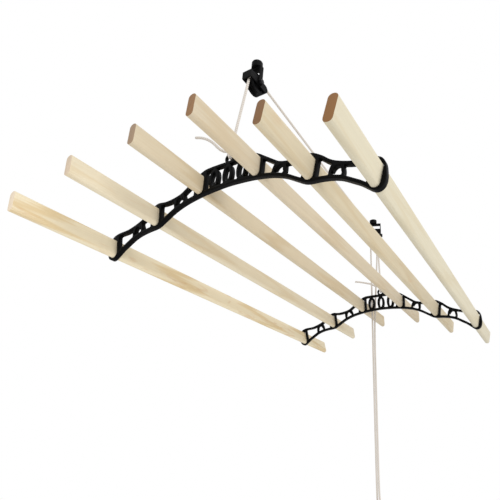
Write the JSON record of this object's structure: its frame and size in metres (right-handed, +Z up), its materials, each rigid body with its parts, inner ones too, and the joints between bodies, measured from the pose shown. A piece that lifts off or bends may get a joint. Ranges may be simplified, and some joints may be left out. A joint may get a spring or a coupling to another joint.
{
  "type": "ceiling mounted pulley rack",
  "caption": "Drying rack with wooden laths in arched cast-iron ends, raised and lowered on cords over ceiling pulleys and tied off on a cleat hook.",
  "frame": {"origin": "in the ceiling plane, above the middle of the rack", "axes": "+X along the laths towards the single pulley, +Y across the laths, +Z up"},
  "size_m": [1.289, 0.6282, 1.071],
  "materials": {
    "rack_iron": "satin black enamel",
    "pulley_iron": "satin black enamel",
    "axle_steel": "blackened",
    "pine": "planed, unvarnished",
    "cord_cotton": "twisted natural cotton"
  },
  "bodies": {
    "fixings": {"single_hanger": "pulley_iron", "single_cage": "pulley_iron", "single_axle": "axle_steel", "double_hanger": "pulley_iron", "double_cage": "pulley_iron", "double_axle": "axle_steel", "axle_nuts": "axle_steel", "line_cord": "cord_cotton", "haul_cord": "cord_cotton", "front_drop_cord": "cord_cotton", "back_drop_cord": "cord_cotton", "cleat": "pulley_iron", "cleat_hitch": "cord_cotton"},
    "rack": {"rack_end_front": "rack_iron", "rack_end_back": "rack_iron", "lath_1": "pine", "lath_2": "pine", "lath_3": "pine", "lath_4": "pine", "lath_5": "pine", "lath_6": "pine", "front_knot": "cord_cotton", "back_knot": "cord_cotton"},
    "single_wheel": {"single_wheel": "pulley_iron"},
    "double_wheel_rack_cord": {"double_wheel_rack_cord": "pulley_iron"},
    "double_wheel_line_cord": {"double_wheel_line_cord": "pulley_iron"}
  },
  "joints": [
    {"name": "rack_lift", "type": "slide", "parent": "fixings", "child": "rack", "axis": [0, 0, 1], "range_m": [-0.9, 0.1], "deforming": ["front_drop_cord", "back_drop_cord"]},
    {"name": "single_wheel_spin", "type": "hinge", "parent": "fixings", "child": "single_wheel", "pos_m": [0.373, 0.004, -0.064], "axis": [0, 1, 0], "range_deg": [-255, 2245]},
    {"name": "rack_cord_wheel_spin", "type": "hinge", "parent": "fixings", "child": "double_wheel_rack_cord", "pos_m": [-0.441, -0.025, -0.064], "axis": [-0.342, 0.9397, 0], "range_deg": [-255, 2245]},
    {"name": "line_cord_wheel_spin", "type": "hinge", "parent": "fixings", "child": "double_wheel_line_cord", "pos_m": [-0.441, -0.025, -0.064], "axis": [-0.342, 0.9397, 0], "range_deg": [-255, 2245]}
  ],
  "couplings": [
    {"joint": "single_wheel_spin", "follows": "rack_lift", "rad_per_m": -43.478},
    {"joint": "rack_cord_wheel_spin", "follows": "rack_lift", "rad_per_m": -43.478},
    {"joint": "line_cord_wheel_spin", "follows": "rack_lift", "rad_per_m": -43.478}
  ]
}
